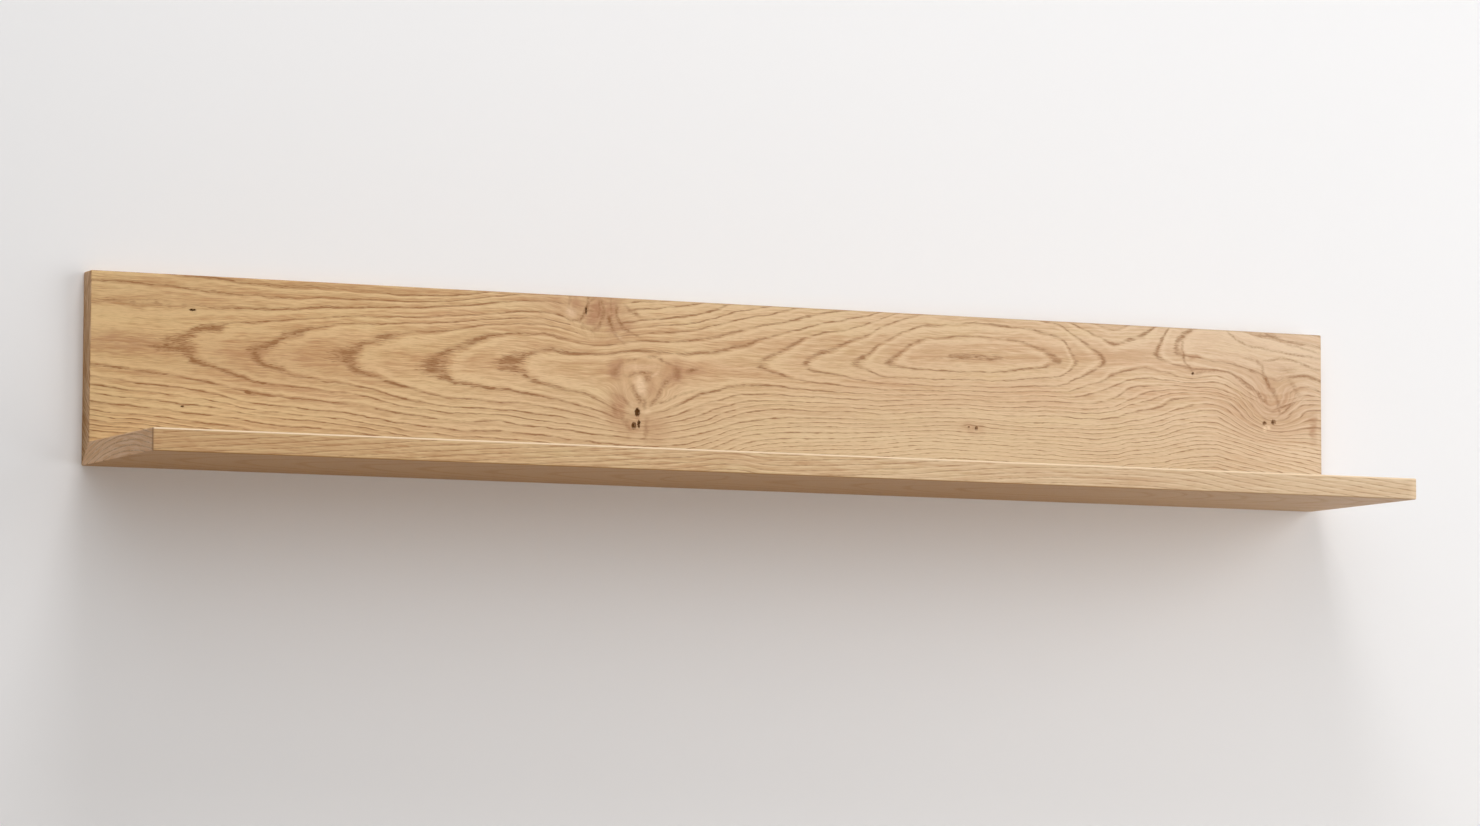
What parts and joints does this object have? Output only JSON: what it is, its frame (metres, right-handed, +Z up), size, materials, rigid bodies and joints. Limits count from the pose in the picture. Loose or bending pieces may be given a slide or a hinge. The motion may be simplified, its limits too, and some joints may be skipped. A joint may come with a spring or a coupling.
{
  "type": "wall shelf",
  "caption": "Straight wall shelf in solid oak: a level shelf board mitred to a tall back panel, which hangs flush against the wall on keyhole plates.",
  "frame": {"origin": "middle of the back panel's back face, which lies in the plane of the wall: half way along, half way up", "axes": "+X along the length, to the right as seen from the room; +Y into the wall; +Z up; the front faces -Y"},
  "size_m": [1.5, 0.23, 0.205],
  "materials": {
    "oak_boards": "natural oak under a matt oil",
    "beech_biscuits": "raw pressed beech",
    "plate_steel": "bright zinc plate",
    "screw_steel": "yellow zinc plate"
  },
  "bodies": {
    "root": {"back_panel": "oak_boards", "shelf_board": "oak_boards", "biscuit_1": "beech_biscuits", "biscuit_2": "beech_biscuits", "biscuit_3": "beech_biscuits", "biscuit_4": "beech_biscuits", "biscuit_5": "beech_biscuits", "biscuit_6": "beech_biscuits", "biscuit_7": "beech_biscuits", "biscuit_8": "beech_biscuits", "hanger_plate_1": "plate_steel", "hanger_plate_2": "plate_steel", "hanger_plate_3": "plate_steel", "hanger_screw_1_upper": "screw_steel", "hanger_screw_1_lower": "screw_steel", "hanger_screw_2_upper": "screw_steel", "hanger_screw_2_lower": "screw_steel", "hanger_screw_3_upper": "screw_steel", "hanger_screw_3_lower": "screw_steel"}
  },
  "joints": []
}
